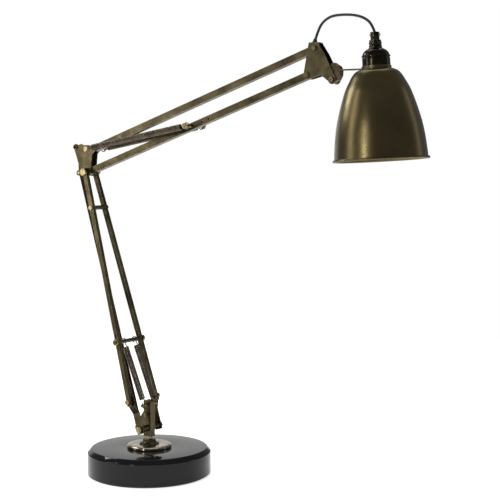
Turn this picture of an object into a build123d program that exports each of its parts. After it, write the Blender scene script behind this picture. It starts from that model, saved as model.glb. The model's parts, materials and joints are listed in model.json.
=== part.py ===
from build123d import *
import os
from math import cos, hypot, pi, radians, sin, tan

# Swing arm desk lamp. The origin is the centre of the base's underside, +Z is up and the
# arms lie in the XZ plane, reaching towards +X. Lengths are in millimetres.

os.makedirs("parts", exist_ok=True)

# ---------------------------------------------------------------- driving dimensions
# round base
BASE_R = 100.0
BASE_TOP = 44.0
BASE_BEVEL = 6.5
FELT = 2.0
CAVITY_R = 28.0
CAVITY_TOP = 18.0
DISC_R = 36.0
DISC_TOP = 49.5
COLLAR_R = 16.0
COLLAR_TOP_R = 10.5
COLLAR_TOP = 58.0
SPINDLE_R = 5.2
BUSH_R = 7.5
INLET_Z = 10.0
INLET_R = 3.5
INLET_LENGTH = 24.0

# pivots, as (x, z)
ARM_PIVOT = (0.0, 75.6)
ELBOW_PIVOT = (-124.0, 490.0)
LINK_OFFSET = (-19.5, -2.0)
HEAD_PIVOT = (305.3, 636.8)
BAR_OFFSET = (12.0, 38.5)
TILT_PIVOT = (347.8, 628.5)
POST_SPRING_PIN = (1.0, 114.0)
CROSS_ROD_Z = 215.0
SPACER_Z = 431.0
SPRING_PIN_ALONG = 228.0

# post on the swivel
POST_X = 14.5
POST_Y = 11.0
POST_BOTTOM = 61.6
POST_TOP = 121.0
POST_SCREW_Z = 97.0
CHEEK = 1.6

# lower arm
LEG = 7.0
LEG_WALL = 1.0
LEG_TOP_Y = 11.7
LEG_FOOT_Y = 33.0
FOOT_ALONG = 47.4
FOOT_WIDTH = 13.0
FOOT_THICK = 2.0
FOOT_Y = 22.0
CROSS_ROD_R = 3.25
LINK_WIDTH = 6.0

# upper arm and brackets
BAR = 10.5
BAR_WALL = 1.2
PLATE_IN = 5.7
PLATE = 1.8
PLATE_OUT = PLATE_IN + PLATE
HEAD_CREST = 7.2

# pins and fits
PIN_R = 2.5
SMALL_PIN_R = 2.0
FIT = 0.05
OPEN_FIT = 0.1
GAP = 0.3

# springs
SPRING_R = 5.1
SPRING_HOLE_R = 3.5
WIRE_R = 0.8
LOOP_R = 4.9
COIL_INSET = 9.5
LOWER_SPRING_Y = 13.5
UPPER_SPRING_Y = 19.5

# shade and lampholder, on an axis that leans by SHADE_LEAN
SHADE_SEAT = (417.5, 646.0)
SHADE_LEAN = 3.8
SHADE_WALL = 1.0
RING_R = 21.5
RING_THICK = 4.2
HOLDER_R = 20.3
THREAD_R = 16.8
SHADE_TOP = -4.3
SHADE_OUTLINE = [
    (31.0, -7.8),
    (36.0, -13.6),
    (41.0, -22.3),
    (45.6, -31.0),
    (49.2, -40.0),
    (55.0, -58.0),
    (60.8, -80.0),
    (64.4, -101.0),
    (66.5, -121.0),
    (67.4, -133.0),
]
SHADE_SHOULDER = 24.0
RIM_BEAD_R = 1.9

# flexible cord from the head bracket to the lampholder
FLEX_R = 2.0
FLEX_ROUTE = [
    (315.2, 689.0),
    (319.4, 700.8),
    (327.0, 713.0),
    (341.5, 721.2),
    (361.0, 722.3),
    (381.0, 720.8),
    (397.5, 715.8),
    (409.5, 706.5),
]


# ---------------------------------------------------------------- geometry worked out from these
def add(a, b):
    return (a[0] + b[0], a[1] + b[1])


def along(a, b, distance):
    """The point at a distance from a towards b, in (x, z)."""
    length = hypot(b[0] - a[0], b[1] - a[1])
    share = distance / length
    return (a[0] + share * (b[0] - a[0]), a[1] + share * (b[1] - a[1]))


def span(a, b):
    return hypot(b[0] - a[0], b[1] - a[1])


def at_height(a, b, z):
    """The point of the line from a to b at height z."""
    share = (z - a[1]) / (b[1] - a[1])
    return (a[0] + share * (b[0] - a[0]), z)


def side(y):
    """The plane at depth y whose sketch axes are X and Z. It faces -Y."""
    return Plane.XZ.offset(-y)


def bar_plane(a, b):
    """The centre plane of a bar from a to b: its sketch X runs along the bar."""
    return Plane(origin=(a[0], 0, a[1]), x_dir=(b[0] - a[0], 0, b[1] - a[1]), z_dir=(0, -1, 0))


LINK_FOOT = add(ARM_PIVOT, LINK_OFFSET)
LINK_TOP = add(ELBOW_PIVOT, LINK_OFFSET)
UPPER_PIVOT = add(ELBOW_PIVOT, BAR_OFFSET)
HEAD_TOP_PIVOT = add(HEAD_PIVOT, BAR_OFFSET)
CROSS_ROD = at_height(ARM_PIVOT, ELBOW_PIVOT, CROSS_ROD_Z)
LEG_SPACER = at_height(ARM_PIVOT, ELBOW_PIVOT, SPACER_Z)
BAR_SPRING_PIN = along(ELBOW_PIVOT, HEAD_PIVOT, SPRING_PIN_ALONG)
ARM_LENGTH = span(ARM_PIVOT, ELBOW_PIVOT)
LEG_SLOPE = (LEG_FOOT_Y - LEG_TOP_Y) / (ARM_LENGTH - FOOT_ALONG)


def leg_y(distance):
    """Distance of a leg's centre line from the middle plane, at a distance up the arm."""
    return LEG_TOP_Y + (ARM_LENGTH - distance) * LEG_SLOPE


def save(piece, node):
    piece.part.label = node
    export_step(piece.part, f"parts/{node}.step")


def rod(node, spots, radius, reach, hole=0.0):
    """Round rods or tubes along Y. reach lists (y_low, y_high) pairs."""
    with BuildPart() as piece:
        for low, high in reach:
            with BuildSketch(side(high)):
                with Locations(*spots):
                    Circle(radius)
                    if hole:
                        Circle(hole, mode=Mode.SUBTRACT)
            extrude(amount=high - low)
    save(piece, node)


# ---------------------------------------------------------------- base
with BuildPart() as base_marble:
    with BuildSketch(Plane.XY.offset(FELT)):
        Circle(BASE_R)
    extrude(amount=BASE_TOP - FELT)
    chamfer(base_marble.edges().group_by(Axis.Z)[-1], length=BASE_BEVEL)
    chamfer(base_marble.edges().group_by(Axis.Z)[0], length=1.5)
    with BuildSketch(Plane.XY.offset(FELT)):
        Circle(CAVITY_R)
    extrude(amount=CAVITY_TOP - FELT, mode=Mode.SUBTRACT)
    with BuildSketch(Plane.XY.offset(CAVITY_TOP)):
        Circle(BUSH_R)
    extrude(amount=BASE_TOP - CAVITY_TOP, mode=Mode.SUBTRACT)
    with BuildSketch(Plane.YZ.offset(-BASE_R)):
        with Locations((0, INLET_Z)):
            Circle(INLET_R + 1.5)
    extrude(amount=BASE_R - CAVITY_R + 4, mode=Mode.SUBTRACT)
save(base_marble, "base_marble")

with BuildPart() as base_felt:
    with BuildSketch(Plane.XY):
        Circle(BASE_R - 5)
    extrude(amount=FELT)
save(base_felt, "base_felt")

with BuildPart() as base_disc:
    with BuildSketch(Plane.XY.offset(BASE_TOP)):
        Circle(DISC_R)
        Circle(BUSH_R, mode=Mode.SUBTRACT)
    extrude(amount=DISC_TOP - BASE_TOP)
    fillet(base_disc.edges().group_by(Axis.Z)[-1].sort_by(SortBy.LENGTH)[-1], radius=2.5)
save(base_disc, "base_disc")

with BuildPart() as swivel_collar:
    with BuildSketch(Plane.XY.offset(DISC_TOP)):
        Circle(COLLAR_R)
    with BuildSketch(Plane.XY.offset(COLLAR_TOP)):
        Circle(COLLAR_TOP_R)
    loft()
    with BuildSketch(Plane.XY.offset(DISC_TOP)):
        Circle(SPINDLE_R + FIT)
    extrude(amount=COLLAR_TOP - DISC_TOP, mode=Mode.SUBTRACT)
save(swivel_collar, "swivel_collar")

with BuildPart() as spindle_bush:
    with BuildSketch(Plane.XY.offset(CAVITY_TOP)):
        Circle(BUSH_R)
        Circle(SPINDLE_R + FIT, mode=Mode.SUBTRACT)
    extrude(amount=DISC_TOP - CAVITY_TOP)
save(spindle_bush, "spindle_bush")

with BuildPart() as inlet_bush:
    with BuildSketch(Plane.YZ.offset(-BASE_R - 1.0)):
        with Locations((0, INLET_Z)):
            Circle(INLET_R + 1.5)
            Circle(INLET_R, mode=Mode.SUBTRACT)
    extrude(amount=INLET_LENGTH)
save(inlet_bush, "inlet_bush")

# ---------------------------------------------------------------- swivel: spindle, post and pins
NUT_TOP = CAVITY_TOP - GAP
with BuildPart() as spindle:
    with BuildSketch(Plane.XY.offset(NUT_TOP - 9)):
        Circle(SPINDLE_R)
    extrude(amount=POST_BOTTOM - NUT_TOP + 9)
save(spindle, "spindle")

with BuildPart() as spindle_nut:
    with BuildSketch(Plane.XY.offset(NUT_TOP - 1.5)):
        Circle(11)
        Circle(SPINDLE_R, mode=Mode.SUBTRACT)
    extrude(amount=1.5)
    with BuildSketch(Plane.XY.offset(NUT_TOP - 8)):
        RegularPolygon(9, 6)
        Circle(SPINDLE_R, mode=Mode.SUBTRACT)
    extrude(amount=6.5)
save(spindle_nut, "spindle_nut")

with BuildPart() as post:
    with BuildSketch(Plane.XZ):
        with Locations((0, (POST_BOTTOM + POST_TOP) / 2)):
            RectangleRounded(POST_X, POST_TOP - POST_BOTTOM, 3)
        with Locations((0, POST_BOTTOM + 3)):
            Rectangle(POST_X, 6)
    extrude(amount=POST_Y / 2, both=True)
    with BuildSketch(Plane.XZ):
        with Locations(ARM_PIVOT):
            Circle(3)
        with Locations(POST_SPRING_PIN):
            Circle(PIN_R)
        with Locations((0, POST_SCREW_Z)):
            Circle(SMALL_PIN_R)
    extrude(amount=POST_Y / 2, both=True, mode=Mode.SUBTRACT)
save(post, "post")


# plates on both faces of the post, which carry the foot of the parallel link
CHEEK_OUT = POST_Y / 2 + CHEEK
with BuildPart() as link_cheeks:
    for high in (CHEEK_OUT, -POST_Y / 2):
        with BuildSketch(side(high)):
            with BuildLine():
                Polyline(
                    (LINK_FOOT[0] - 4.5, LINK_FOOT[1]),
                    (LINK_FOOT[0] - 4.5, LINK_FOOT[1] + 3),
                    (-6.5, POST_SCREW_Z + 5.5),
                    (5.5, POST_SCREW_Z + 5.5),
                    (5.5, ARM_PIVOT[1] - 6),
                    (LINK_FOOT[0], LINK_FOOT[1] - 4.5),
                    close=True,
                )
            make_face()
            with Locations(LINK_FOOT):
                Circle(4.5)
            with Locations(ARM_PIVOT):
                Circle(3, mode=Mode.SUBTRACT)
            with Locations(LINK_FOOT, (0, POST_SCREW_Z)):
                Circle(SMALL_PIN_R, mode=Mode.SUBTRACT)
        extrude(amount=CHEEK)
save(link_cheeks, "link_cheeks")

with BuildPart() as post_screws:
    with BuildSketch(side(CHEEK_OUT)):
        with Locations((0, POST_SCREW_Z)):
            Circle(SMALL_PIN_R)
    extrude(amount=2 * CHEEK_OUT)
    for face_y in (CHEEK_OUT + 1.8, -CHEEK_OUT):
        with BuildSketch(side(face_y)):
            with Locations((0, POST_SCREW_Z)):
                Circle(3.6)
        extrude(amount=1.8)
save(post_screws, "post_screws")

NUT_IN = FOOT_Y + FOOT_THICK + GAP
rod("arm_pivot_pin", [ARM_PIVOT], 3.0, [(-NUT_IN - 5, NUT_IN + 5)])
rod("arm_pivot_spacers", [ARM_PIVOT], 5.3, [(CHEEK_OUT, FOOT_Y - GAP), (GAP - FOOT_Y, -CHEEK_OUT)], 3.0)
rod("post_spring_pin", [POST_SPRING_PIN], PIN_R, [(-19.5, 19.5)])
rod("link_foot_pin", [LINK_FOOT], SMALL_PIN_R, [(-CHEEK_OUT - 1, CHEEK_OUT + 1)])

with BuildPart() as arm_pivot_nuts:
    for high in (NUT_IN + 4, -NUT_IN):
        with BuildSketch(side(high)):
            with Locations(ARM_PIVOT):
                RegularPolygon(5.6, 6)
                Circle(3.0, mode=Mode.SUBTRACT)
        extrude(amount=4)
save(arm_pivot_nuts, "arm_pivot_nuts")

# ---------------------------------------------------------------- lower arm
ARM_UP = Vector(ELBOW_PIVOT[0] - ARM_PIVOT[0], 0, ELBOW_PIVOT[1] - ARM_PIVOT[1]).normalized()
ARM_ACROSS = Vector(ARM_UP.Z, 0, -ARM_UP.X)
LEG_FOOT_END = FOOT_ALONG - 7.5
LEG_TOP_END = ARM_LENGTH + 5.5


def arm_point(distance, y):
    """A point at a distance up the arm's line and at depth y."""
    return (ARM_PIVOT[0] + distance * ARM_UP.X, y, ARM_PIVOT[1] + distance * ARM_UP.Z)


def leg(node, sign):
    """Square tube leg, which stands further from the middle plane at its foot."""
    foot = Vector(*arm_point(LEG_FOOT_END, sign * leg_y(LEG_FOOT_END)))
    top = Vector(*arm_point(LEG_TOP_END, sign * leg_y(LEG_TOP_END)))
    with BuildPart() as piece:
        with BuildSketch(Plane(origin=foot, x_dir=ARM_ACROSS, z_dir=top - foot)):
            Rectangle(LEG, LEG)
            Rectangle(LEG - 2 * LEG_WALL, LEG - 2 * LEG_WALL, mode=Mode.SUBTRACT)
        extrude(amount=(top - foot).length)
        with BuildSketch(bar_plane(ARM_PIVOT, ELBOW_PIVOT)):
            with Locations((ARM_LENGTH, 0), (FOOT_ALONG, 0)):
                Circle(PIN_R)
            with Locations((span(ARM_PIVOT, LEG_SPACER), 0)):
                Circle(SMALL_PIN_R)
            with Locations((span(ARM_PIVOT, CROSS_ROD), 0)):
                Circle(CROSS_ROD_R)
            with Locations((span(ARM_PIVOT, CROSS_ROD) - 9.5, 0)):
                Circle(2.0)
            with Locations((span(ARM_PIVOT, CROSS_ROD) + 10, 0)):
                SlotOverall(8, 3.4)
        extrude(amount=2 * LEG_FOOT_Y, both=True, mode=Mode.SUBTRACT)
    save(piece, node)


leg("leg_near", -1)
leg("leg_far", 1)


def foot_strap(node, sign):
    """Joggled strap from the leg's foot in to the arm's lower pivot."""
    tilt = LEG_SLOPE
    low, high = FOOT_ALONG - 8.5, FOOT_ALONG + 9
    inner = leg_y(FOOT_ALONG) - LEG / 2 * (1 + tilt * tilt) ** 0.5
    outline = [
        (-7.0, FOOT_Y),
        (-7.0, FOOT_Y + FOOT_THICK),
        (27.0, FOOT_Y + FOOT_THICK),
        (low, inner + (FOOT_ALONG - low) * tilt),
        (high, inner + (FOOT_ALONG - high) * tilt),
        (high, inner - FOOT_THICK + (FOOT_ALONG - high) * tilt),
        (low + 0.8, inner - FOOT_THICK + (FOOT_ALONG - low) * tilt),
        (28.2, FOOT_Y),
    ]
    edge_plane = Plane(origin=arm_point(0, 0), x_dir=ARM_UP, z_dir=ARM_ACROSS)
    with BuildPart() as piece:
        with BuildSketch(edge_plane):
            with BuildLine():
                Polyline(*[(s, -sign * y) for s, y in outline], close=True)
            make_face()
        extrude(amount=FOOT_WIDTH / 2, both=True)
        with BuildSketch(bar_plane(ARM_PIVOT, ELBOW_PIVOT)):
            Circle(3.0 + FIT)
            with Locations((FOOT_ALONG, 0)):
                Circle(PIN_R)
        extrude(amount=2 * LEG_FOOT_Y, both=True, mode=Mode.SUBTRACT)
    save(piece, node)


foot_strap("foot_strap_near", -1)
foot_strap("foot_strap_far", 1)

ROD_NUT_Y = leg_y(span(ARM_PIVOT, CROSS_ROD)) + LEG / 2 + 0.4
FOOT_NUT_Y = LEG_FOOT_Y + LEG / 2 + 0.5
TOP_NUT_Y = LEG_TOP_Y + LEG / 2 + 0.5
SPACER_NUT_Y = leg_y(span(ARM_PIVOT, LEG_SPACER)) + LEG / 2 + 0.3
rod("cross_rod", [CROSS_ROD], CROSS_ROD_R, [(-ROD_NUT_Y - 5, ROD_NUT_Y + 5)])


def bolt_set(node, centres, shank_r, shank_spans, head_r, head_y, head_thick, sides=6):
    """Bolts or pins along Y with a head or nut at +-head_y, as one group of solids."""
    with BuildPart() as piece:
        for low, high in shank_spans:
            with BuildSketch(side(high)):
                with Locations(*centres):
                    Circle(shank_r)
            extrude(amount=high - low)
        for high in (head_y + head_thick, -head_y):
            with BuildSketch(side(high)):
                with Locations(*centres):
                    if sides:
                        RegularPolygon(head_r, sides)
                    else:
                        Circle(head_r)
            extrude(amount=head_thick)
    save(piece, node)


with BuildPart() as cross_rod_nuts:
    for high in (ROD_NUT_Y + 3.6, -ROD_NUT_Y):
        with BuildSketch(side(high)):
            with Locations(CROSS_ROD):
                RegularPolygon(5.6, 6)
                Circle(CROSS_ROD_R, mode=Mode.SUBTRACT)
        extrude(amount=3.6)
save(cross_rod_nuts, "cross_rod_nuts")

FOOT_CENTRE = along(ARM_PIVOT, ELBOW_PIVOT, FOOT_ALONG)
FOOT_BOLT_IN = LEG_FOOT_Y - LEG / 2 - FOOT_THICK - 2.8
bolt_set(
    "foot_bolts",
    [FOOT_CENTRE],
    PIN_R,
    [(FOOT_BOLT_IN, FOOT_NUT_Y), (-FOOT_NUT_Y, -FOOT_BOLT_IN)],
    4.4,
    FOOT_NUT_Y,
    3.2,
)
TOP_SPAN = [(-TOP_NUT_Y, TOP_NUT_Y)]
SPACER_SPAN = [(-SPACER_NUT_Y, SPACER_NUT_Y)]
bolt_set("elbow_bolt", [ELBOW_PIVOT], PIN_R, TOP_SPAN, 5.6, TOP_NUT_Y, 3.6, sides=0)
bolt_set("leg_spacer_bolt", [LEG_SPACER], SMALL_PIN_R, SPACER_SPAN, 3.6, SPACER_NUT_Y, 2.2, sides=0)
SPACER_IN = leg_y(span(ARM_PIVOT, LEG_SPACER)) - LEG / 2 - 0.35
rod("leg_spacer", [LEG_SPACER], 3.6, [(-SPACER_IN, SPACER_IN)], SMALL_PIN_R)

# ---------------------------------------------------------------- parallel link
LINK_LENGTH = span(LINK_FOOT, LINK_TOP)
with BuildPart() as parallel_link:
    with BuildSketch(bar_plane(LINK_FOOT, LINK_TOP)):
        with Locations((LINK_LENGTH / 2, 0)):
            Rectangle(LINK_LENGTH, LINK_WIDTH)
        with Locations((0, 0), (LINK_LENGTH, 0)):
            Circle(4.2)
        with Locations((0, 0)):
            Circle(SMALL_PIN_R + FIT, mode=Mode.SUBTRACT)
        with Locations((LINK_LENGTH, 0)):
            Circle(SMALL_PIN_R + OPEN_FIT, mode=Mode.SUBTRACT)
    extrude(amount=LINK_WIDTH / 2, both=True)
save(parallel_link, "parallel_link")


# ---------------------------------------------------------------- elbow bracket
GUIDE_TUBE = (ELBOW_PIVOT[0] - 25.5, ELBOW_PIVOT[1] + 41.0)
GUIDE_R = 3.8
GUIDE_HOLE_R = 2.8
GUIDE_Y = PLATE_OUT + 2.2
ELBOW_SCREW = (ELBOW_PIVOT[0] - 3.0, ELBOW_PIVOT[1] + 36.5)


def elbow_plate(node, high):
    with BuildPart() as piece:
        with BuildSketch(side(high)):
            with BuildLine():
                Polyline(
                    (ELBOW_PIVOT[0] - 19.0, ELBOW_PIVOT[1] - 2.0),
                    (ELBOW_PIVOT[0] - 19.5, ELBOW_PIVOT[1] + 14.0),
                    (GUIDE_TUBE[0] - 4.0, GUIDE_TUBE[1] - 1.0),
                    (GUIDE_TUBE[0], GUIDE_TUBE[1] + 3.5),
                    (UPPER_PIVOT[0] - 1.0, UPPER_PIVOT[1] + 5.5),
                    (UPPER_PIVOT[0] + 5.5, UPPER_PIVOT[1] - 1.0),
                    (UPPER_PIVOT[0] - 2.0, UPPER_PIVOT[1] - 9.0),
                    (ELBOW_PIVOT[0] + 6.8, ELBOW_PIVOT[1] + 1.0),
                    (ELBOW_PIVOT[0], ELBOW_PIVOT[1] - 7.0),
                    (LINK_TOP[0], LINK_TOP[1] - 4.5),
                    close=True,
                )
            make_face()
            with Locations(ELBOW_PIVOT):
                Circle(7.0)
            with Locations(UPPER_PIVOT):
                Circle(5.6)
            with Locations(LINK_TOP):
                Circle(4.5)
            with Locations(GUIDE_TUBE):
                Circle(GUIDE_R + 1.4)
                Circle(GUIDE_R, mode=Mode.SUBTRACT)
            with Locations(ELBOW_PIVOT):
                Circle(PIN_R + FIT, mode=Mode.SUBTRACT)
            with Locations(UPPER_PIVOT, LINK_TOP, ELBOW_SCREW):
                Circle(SMALL_PIN_R, mode=Mode.SUBTRACT)
        extrude(amount=PLATE)
    save(piece, node)


elbow_plate("elbow_plate_near", -PLATE_IN)
elbow_plate("elbow_plate_far", PLATE_OUT)
BETWEEN_OUTSIDES = [(-PLATE_OUT, PLATE_OUT)]
SPRING_END_Y = UPPER_SPRING_Y + 3.5
BETWEEN_SPRINGS = [(-SPRING_END_Y, SPRING_END_Y)]
rod("elbow_guide_tube", [GUIDE_TUBE], GUIDE_R, [(-GUIDE_Y, GUIDE_Y)], GUIDE_HOLE_R)
rod("link_top_rivet", [LINK_TOP], SMALL_PIN_R, BETWEEN_OUTSIDES)
bolt_set("elbow_screw", [ELBOW_SCREW], SMALL_PIN_R, BETWEEN_OUTSIDES, 3.4, PLATE_OUT, 1.8, sides=0)
bolt_set("upper_pivot_pin", [UPPER_PIVOT], SMALL_PIN_R, BETWEEN_SPRINGS, 3.8, SPRING_END_Y, 2.2)
WASHER_OUT = LEG_TOP_Y - LEG / 2 - 0.3
WASHER_IN = PLATE_OUT + 0.05
rod("elbow_washers", [ELBOW_PIVOT], 4.6, [(WASHER_IN, WASHER_OUT), (-WASHER_OUT, -WASHER_IN)], PIN_R)


# ---------------------------------------------------------------- upper arm bars
def square_bar(node, a, b, near_hole, far_hole, pins=()):
    """Square tube with rounded ends from pivot a to pivot b."""
    length = span(a, b)
    with BuildPart() as piece:
        with BuildSketch(bar_plane(a, b)):
            with Locations((length / 2, 0)):
                SlotCenterToCenter(length, BAR)
        extrude(amount=BAR / 2, both=True)
        with BuildSketch(bar_plane(a, b)):
            with Locations((length / 2, 0)):
                Rectangle(length + 2 * BAR, BAR - 2 * BAR_WALL)
        extrude(amount=BAR / 2 - BAR_WALL, both=True, mode=Mode.SUBTRACT)
        with BuildSketch(bar_plane(a, b)):
            Circle(near_hole)
            with Locations((length, 0)):
                Circle(far_hole)
            for distance, radius in pins:
                with Locations((distance, 0)):
                    Circle(radius)
        extrude(amount=BAR, both=True, mode=Mode.SUBTRACT)
    save(piece, node)


ADJUSTERS = [(SPRING_PIN_ALONG + 20, 1.7), (SPRING_PIN_ALONG + 34, 1.7)]
square_bar(
    "lower_bar",
    ELBOW_PIVOT,
    HEAD_PIVOT,
    PIN_R + FIT,
    PIN_R + FIT,
    [(SPRING_PIN_ALONG, PIN_R)] + ADJUSTERS,
)
square_bar("upper_bar", UPPER_PIVOT, HEAD_TOP_PIVOT, SMALL_PIN_R + FIT, PIN_R + OPEN_FIT)
bolt_set("bar_spring_pin", [BAR_SPRING_PIN], PIN_R, BETWEEN_SPRINGS, 4.8, SPRING_END_Y, 2.6)

# the wire to the lampholder lies on the floor of the upper bar
WIRE_INSET = 14.0
with BuildPart() as bar_wiring:
    bar_frame = bar_plane(UPPER_PIVOT, HEAD_TOP_PIVOT)
    start = bar_frame.from_local_coords((WIRE_INSET, FLEX_R - BAR / 2 + BAR_WALL, 0))
    with BuildSketch(Plane(origin=start, z_dir=bar_frame.x_dir)):
        Circle(FLEX_R)
    extrude(amount=span(UPPER_PIVOT, HEAD_TOP_PIVOT) - 2 * WIRE_INSET)
save(bar_wiring, "bar_wiring")


# ---------------------------------------------------------------- head bracket
def head_plate(node, high):
    with BuildPart() as piece:
        with BuildSketch(side(high)):
            with BuildLine():
                Polyline(
                    (HEAD_PIVOT[0] - 6.2, HEAD_PIVOT[1] + 1.0),
                    (HEAD_TOP_PIVOT[0] - 9.5, HEAD_TOP_PIVOT[1] + HEAD_CREST),
                    (HEAD_TOP_PIVOT[0] + 6.0, HEAD_TOP_PIVOT[1] + HEAD_CREST),
                    (HEAD_TOP_PIVOT[0] + 18.0, HEAD_TOP_PIVOT[1] - 10.0),
                    (TILT_PIVOT[0] + 6.3, TILT_PIVOT[1] + 2.0),
                    (TILT_PIVOT[0], TILT_PIVOT[1] - 6.2),
                    (HEAD_PIVOT[0] + 23.5, HEAD_PIVOT[1] - 1.0),
                    (HEAD_PIVOT[0] + 2.0, HEAD_PIVOT[1] - 6.2),
                    close=True,
                )
            make_face()
            with Locations(HEAD_PIVOT, TILT_PIVOT):
                Circle(6.4)
            with Locations(HEAD_PIVOT, HEAD_TOP_PIVOT, TILT_PIVOT):
                Circle(PIN_R, mode=Mode.SUBTRACT)
        extrude(amount=PLATE)
    save(piece, node)


head_plate("head_plate_near", -PLATE_IN)
head_plate("head_plate_far", PLATE_OUT)
HEAD_PINS = [HEAD_PIVOT, HEAD_TOP_PIVOT, TILT_PIVOT]
bolt_set("head_bolts", HEAD_PINS, PIN_R, BETWEEN_OUTSIDES, 4.0, PLATE_OUT, 3.0)

# a strip across the tops of the two plates holds the grommet that the flexible cord leaves
BRIDGE_Z = HEAD_TOP_PIVOT[1] + HEAD_CREST
BRIDGE = 1.5
BRIDGE_LENGTH = 15.5
GROMMET_R = FLEX_R + 0.9
FLEX_START = Vector(FLEX_ROUTE[0][0], 0, FLEX_ROUTE[0][1])
FLEX_LEAVES = (Vector(FLEX_ROUTE[1][0], 0, FLEX_ROUTE[1][1]) - FLEX_START).normalized()
GROMMET_X = FLEX_START.X - (FLEX_START.Z - BRIDGE_Z - BRIDGE) * FLEX_LEAVES.X / FLEX_LEAVES.Z
with BuildPart() as head_bridge:
    with BuildSketch(Plane.XY.offset(BRIDGE_Z)):
        with Locations((HEAD_TOP_PIVOT[0] - 9.5 + BRIDGE_LENGTH / 2, 0)):
            Rectangle(BRIDGE_LENGTH, 2 * PLATE_OUT)
        with Locations((GROMMET_X, 0)):
            Circle(GROMMET_R, mode=Mode.SUBTRACT)
    extrude(amount=BRIDGE)
save(head_bridge, "head_bridge")

with BuildPart() as flex_grommet:
    with BuildSketch(Plane.XY.offset(BRIDGE_Z)):
        with Locations((GROMMET_X, 0)):
            Circle(GROMMET_R)
    extrude(amount=BRIDGE)
    with BuildSketch(Plane.XY.offset(BRIDGE_Z + BRIDGE)):
        with Locations((GROMMET_X, 0)):
            Circle(GROMMET_R + 0.9)
    with BuildSketch(Plane(origin=FLEX_START, z_dir=FLEX_LEAVES)):
        Circle(FLEX_R + 0.7)
    loft()
save(flex_grommet, "flex_grommet")

# ---------------------------------------------------------------- shade, lampholder and bulb
LEAN = radians(SHADE_LEAN)
SHADE_AXIS = Plane(
    origin=(SHADE_SEAT[0], 0, SHADE_SEAT[1]),
    x_dir=(cos(LEAN), 0, sin(LEAN)),
    z_dir=(-sin(LEAN), 0, cos(LEAN)),
)
# profiles are drawn in this plane, as (radius, height along the axis)
PROFILE = Plane(origin=SHADE_AXIS.origin, x_dir=SHADE_AXIS.x_dir, z_dir=(0, -1, 0))
TURN = Axis(SHADE_AXIS.origin, SHADE_AXIS.z_dir)


def turned(node, outline):
    """A solid of revolution about the shade's axis from a closed outline."""
    with BuildPart() as piece:
        with BuildSketch(PROFILE):
            with BuildLine():
                Polyline(*outline, close=True)
            make_face()
        revolve(axis=TURN)
    save(piece, node)


with BuildPart() as knuckle:
    with BuildSketch(Plane.XZ):
        with BuildLine():
            Polyline(
                (TILT_PIVOT[0] - 5.0, TILT_PIVOT[1] + 1.0),
                (TILT_PIVOT[0] - 4.5, TILT_PIVOT[1] + 20.0),
                (TILT_PIVOT[0], TILT_PIVOT[1] + 25.0),
                (TILT_PIVOT[0] + 9.5, TILT_PIVOT[1] + 19.5),
                (TILT_PIVOT[0] + 12.4, TILT_PIVOT[1] + 14.0),
                (TILT_PIVOT[0] + 12.0, TILT_PIVOT[1] + 6.0),
                (TILT_PIVOT[0] + 8.0, TILT_PIVOT[1] - 1.0),
                (TILT_PIVOT[0], TILT_PIVOT[1] - 5.0),
                close=True,
            )
        make_face()
        with Locations(TILT_PIVOT):
            Circle(5.2)
            Circle(PIN_R + FIT, mode=Mode.SUBTRACT)
    extrude(amount=5.3, both=True)
save(knuckle, "knuckle")

STEM_Z = 642.4
STEM_START = TILT_PIVOT[0] + 12.4
with BuildPart() as shade_stem:
    with BuildSketch(Plane.XZ):
        with Locations(((STEM_START + SHADE_SEAT[0] - 18) / 2, STEM_Z)):
            Rectangle(SHADE_SEAT[0] - 18 - STEM_START, 2.0)
    extrude(amount=5.0, both=True)
    with BuildSketch(PROFILE):
        with BuildLine():
            Polyline((THREAD_R, 0), (RING_R, 0), (RING_R, -RING_THICK), (THREAD_R, -RING_THICK), close=True)
        make_face()
    revolve(axis=TURN)
    with BuildSketch(SHADE_AXIS.offset(-RING_THICK)):
        Circle(THREAD_R)
    extrude(amount=RING_THICK, mode=Mode.SUBTRACT)
save(shade_stem, "shade_stem")

HOLDER = [(14, 13), (HOLDER_R, 13), (HOLDER_R, 0), (THREAD_R, 0), (THREAD_R, -20), (14, -20)]
turned("lampholder_body", HOLDER)
BEAD_R = HOLDER_R + 0.5
DOME = [(BEAD_R, 13), (BEAD_R, 15), (19.2, 15.5), (17.8, 19), (14.5, 23), (9.4, 25.5)]
turned("lampholder_cap", [(9.5, 13), *DOME, (9.4, 34), (4, 34), (4, 24)])
turned("lampholder_insert", [(0, 0), (13.9, 0), (13.9, 12.9), (0, 12.9)])
NUT_FACE = SHADE_TOP - SHADE_WALL
turned("shade_ring_nut", [(THREAD_R, NUT_FACE), (20.5, NUT_FACE), (20.5, -10), (THREAD_R, -10)])
turned("bulb_cap", [(0, 0), (4, 0), (13.2, -4), (13.2, -27), (0, -27)])

GRIP_TOP = 48.5
GRIP_R = 6.5
LEVER_HUB = (4.5, 40.0)
LEVER_TIP = (10.4, 31.0)
LEVER_NEAR = -9.6
LEVER_FAR = -7.6
with BuildPart() as cord_grip:
    with BuildSketch(SHADE_AXIS.offset(34)):
        Circle(8.6)
    extrude(amount=3)
    with BuildSketch(SHADE_AXIS.offset(37)):
        Circle(GRIP_R)
    extrude(amount=GRIP_TOP - 37)
    with BuildSketch(PROFILE):
        with Locations(LEVER_HUB):
            Circle(1.2)
    extrude(amount=0.6 - LEVER_NEAR)
save(cord_grip, "cord_grip")

with BuildPart() as grip_screws:
    for sign in (-1, 1):
        screw_seat = SHADE_AXIS.from_local_coords((sign * GRIP_R, 0, 44.5))
        with BuildSketch(Plane(origin=screw_seat, z_dir=SHADE_AXIS.x_dir * sign)):
            Circle(1.8)
        extrude(amount=1.6)
save(grip_screws, "grip_screws")

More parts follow.
